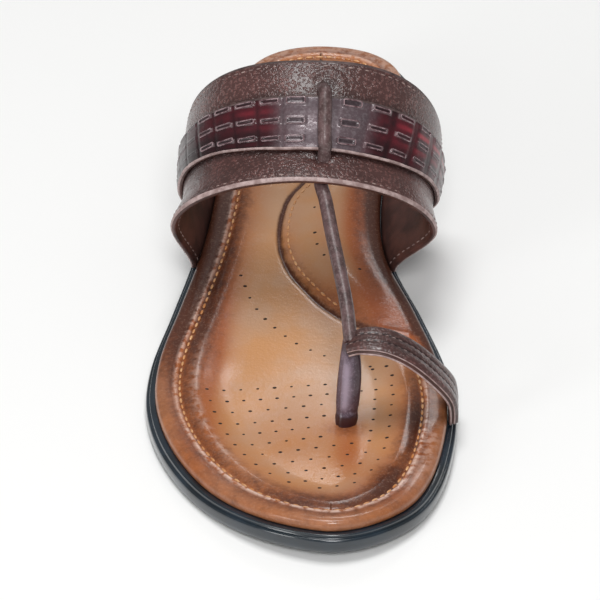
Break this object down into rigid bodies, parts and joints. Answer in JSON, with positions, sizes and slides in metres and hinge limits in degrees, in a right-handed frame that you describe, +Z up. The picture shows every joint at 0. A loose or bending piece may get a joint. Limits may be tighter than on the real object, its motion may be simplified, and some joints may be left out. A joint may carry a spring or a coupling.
{
  "type": "flat sandal",
  "caption": "Right-foot flat slip-on sandal: broad leather instep band with a laced centre strip, a thong to a big-toe loop, a moulded footbed and a low block heel.",
  "frame": {"origin": "middle of the sandal's footprint, on the floor", "axes": "+Z up, toe towards -Y, heel towards +Y, +X the medial (big-toe) side of the right foot"},
  "size_m": [0.1016, 0.273, 0.089],
  "materials": {
    "outsole": "polished black edge",
    "heel_block": "satin black",
    "footbed": "tan leather, burnished brown at seams and margin",
    "instep_band": "pebbled dark brown with a metallic sheen",
    "centre_strip": "smooth glossy burgundy",
    "thong_and_toe_loop": "textured dark brown with a metallic sheen",
    "toe_post": "smooth satin mauve brown"
  },
  "bodies": {
    "root": {"outsole": "outsole", "heel_block": "heel_block", "footbed": "footbed", "instep_band": "instep_band", "centre_strip": "centre_strip", "thong_and_toe_loop": "thong_and_toe_loop", "toe_post": "toe_post"}
  },
  "joints": []
}
